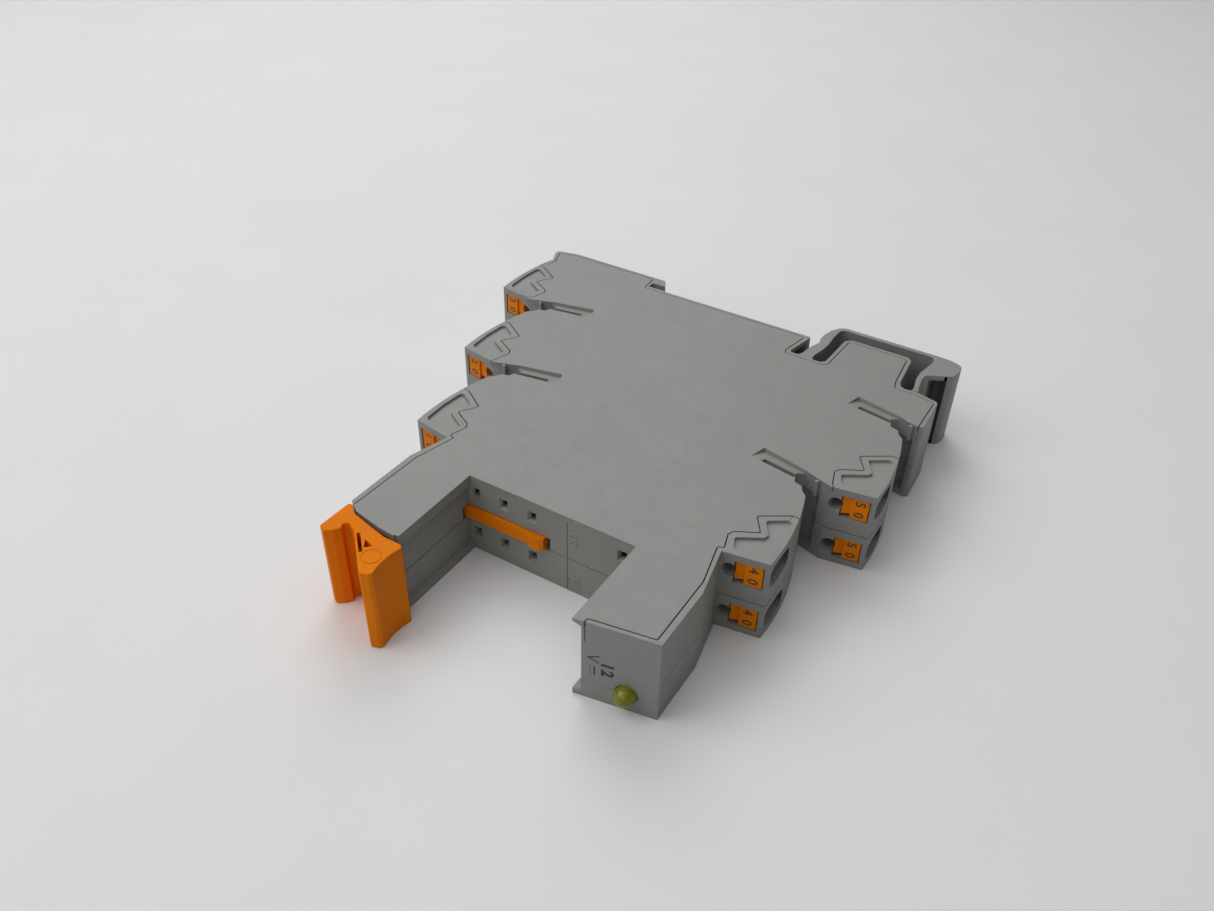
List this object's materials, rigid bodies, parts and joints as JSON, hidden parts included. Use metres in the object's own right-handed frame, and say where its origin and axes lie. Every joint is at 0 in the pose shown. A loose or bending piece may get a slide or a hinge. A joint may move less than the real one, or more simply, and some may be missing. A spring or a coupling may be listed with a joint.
{
  "type": "plug-in relay base",
  "caption": "Narrow DIN-rail relay base lying on its side: stepped push-in terminals, open relay bay, hinged orange retaining bracket, status lamp and sprung rail foot.",
  "frame": {"origin": "centre of the footprint on the underside, as the base lies on its side", "axes": "+X across the rail's 35 mm width, +Y from the relay bay to the rail, +Z across the module's width"},
  "size_m": [0.081, 0.0933, 0.014],
  "materials": {
    "grey_plastic": "fine moulded grain, light grey",
    "orange_plastic": "smooth satin moulding, orange",
    "spring_steel": "bright spring steel",
    "tinned_copper": "tinned copper stamping",
    "board_laminate": "green solder resist",
    "led_epoxy": "tinted clear epoxy",
    "resistor_coating": "lacquered film resistor",
    "black_epoxy": "moulded epoxy"
  },
  "bodies": {
    "housing": {"bracket_pivot_pin": "spring_steel", "bridge_rectifier": "black_epoxy", "circuit_board": "board_laminate", "clamp_spring_left_1_lower": "spring_steel", "clamp_spring_left_1_upper": "spring_steel", "clamp_spring_left_2_lower": "spring_steel", "clamp_spring_left_2_upper": "spring_steel", "clamp_spring_left_3_lower": "spring_steel", "clamp_spring_left_3_upper": "spring_steel", "clamp_spring_right_1_lower": "spring_steel", "clamp_spring_right_1_upper": "spring_steel", "clamp_spring_right_2_lower": "spring_steel", "clamp_spring_right_2_upper": "spring_steel", "coil_socket_lower": "tinned_copper", "coil_socket_upper": "tinned_copper", "contact_bar_1_lower": "tinned_copper", "contact_bar_1_upper": "tinned_copper", "contact_bar_2_lower": "tinned_copper", "contact_bar_2_upper": "tinned_copper", "contact_bar_3_lower": "tinned_copper", "contact_bar_3_upper": "tinned_copper", "flyback_diode": "black_epoxy", "led_leads": "spring_steel", "led_lens": "led_epoxy", "lower_housing": "grey_plastic", "series_resistor": "resistor_coating", "side_cover": "grey_plastic", "supply_bar_1": "tinned_copper", "supply_bar_2": "tinned_copper", "upper_housing": "grey_plastic"},
    "foot": {"din_foot": "grey_plastic"},
    "bracket": {"retaining_bracket": "orange_plastic"},
    "pusher_left_1_lower": {"pusher_left_1_lower": "orange_plastic"},
    "pusher_left_1_upper": {"pusher_left_1_upper": "orange_plastic"},
    "pusher_left_2_lower": {"pusher_left_2_lower": "orange_plastic"},
    "pusher_left_2_upper": {"pusher_left_2_upper": "orange_plastic"},
    "pusher_left_3_lower": {"pusher_left_3_lower": "orange_plastic"},
    "pusher_left_3_upper": {"pusher_left_3_upper": "orange_plastic"},
    "pusher_right_1_lower": {"pusher_right_1_lower": "orange_plastic"},
    "pusher_right_1_upper": {"pusher_right_1_upper": "orange_plastic"},
    "pusher_right_2_lower": {"pusher_right_2_lower": "orange_plastic"},
    "pusher_right_2_upper": {"pusher_right_2_upper": "orange_plastic"}
  },
  "joints": [
    {"name": "foot_latch", "type": "slide", "parent": "housing", "child": "foot", "axis": [1, 0, 0], "range_m": [0, 0.0012], "stiffness_N_per_m": 4000, "springref_m": -0.0005},
    {"name": "bracket_swing", "type": "hinge", "parent": "housing", "child": "bracket", "pos_m": [-0.0153, -0.02095, 0.0072], "axis": [0, 0, 1], "range_deg": [-10, 0]},
    {"name": "press_left_1_lower", "type": "slide", "parent": "housing", "child": "pusher_left_1_lower", "axis": [0.1547, 0.988, 0], "range_m": [0, 0.0011], "stiffness_N_per_m": 1000, "springref_m": -0.001},
    {"name": "press_left_1_upper", "type": "slide", "parent": "housing", "child": "pusher_left_1_upper", "axis": [0.1547, 0.988, 0], "range_m": [0, 0.0011], "stiffness_N_per_m": 1000, "springref_m": -0.001},
    {"name": "press_left_2_lower", "type": "slide", "parent": "housing", "child": "pusher_left_2_lower", "axis": [0.1547, 0.988, 0], "range_m": [0, 0.0011], "stiffness_N_per_m": 1000, "springref_m": -0.001},
    {"name": "press_left_2_upper", "type": "slide", "parent": "housing", "child": "pusher_left_2_upper", "axis": [0.1547, 0.988, 0], "range_m": [0, 0.0011], "stiffness_N_per_m": 1000, "springref_m": -0.001},
    {"name": "press_left_3_lower", "type": "slide", "parent": "housing", "child": "pusher_left_3_lower", "axis": [0.1547, 0.988, 0], "range_m": [0, 0.0011], "stiffness_N_per_m": 1000, "springref_m": -0.001},
    {"name": "press_left_3_upper", "type": "slide", "parent": "housing", "child": "pusher_left_3_upper", "axis": [0.1547, 0.988, 0], "range_m": [0, 0.0011], "stiffness_N_per_m": 1000, "springref_m": -0.001},
    {"name": "press_right_1_lower", "type": "slide", "parent": "housing", "child": "pusher_right_1_lower", "axis": [-0.1547, 0.988, 0], "range_m": [0, 0.0011], "stiffness_N_per_m": 1000, "springref_m": -0.001},
    {"name": "press_right_1_upper", "type": "slide", "parent": "housing", "child": "pusher_right_1_upper", "axis": [-0.1547, 0.988, 0], "range_m": [0, 0.0011], "stiffness_N_per_m": 1000, "springref_m": -0.001},
    {"name": "press_right_2_lower", "type": "slide", "parent": "housing", "child": "pusher_right_2_lower", "axis": [-0.1547, 0.988, 0], "range_m": [0, 0.0011], "stiffness_N_per_m": 1000, "springref_m": -0.001},
    {"name": "press_right_2_upper", "type": "slide", "parent": "housing", "child": "pusher_right_2_upper", "axis": [-0.1547, 0.988, 0], "range_m": [0, 0.0011], "stiffness_N_per_m": 1000, "springref_m": -0.001}
  ]
}
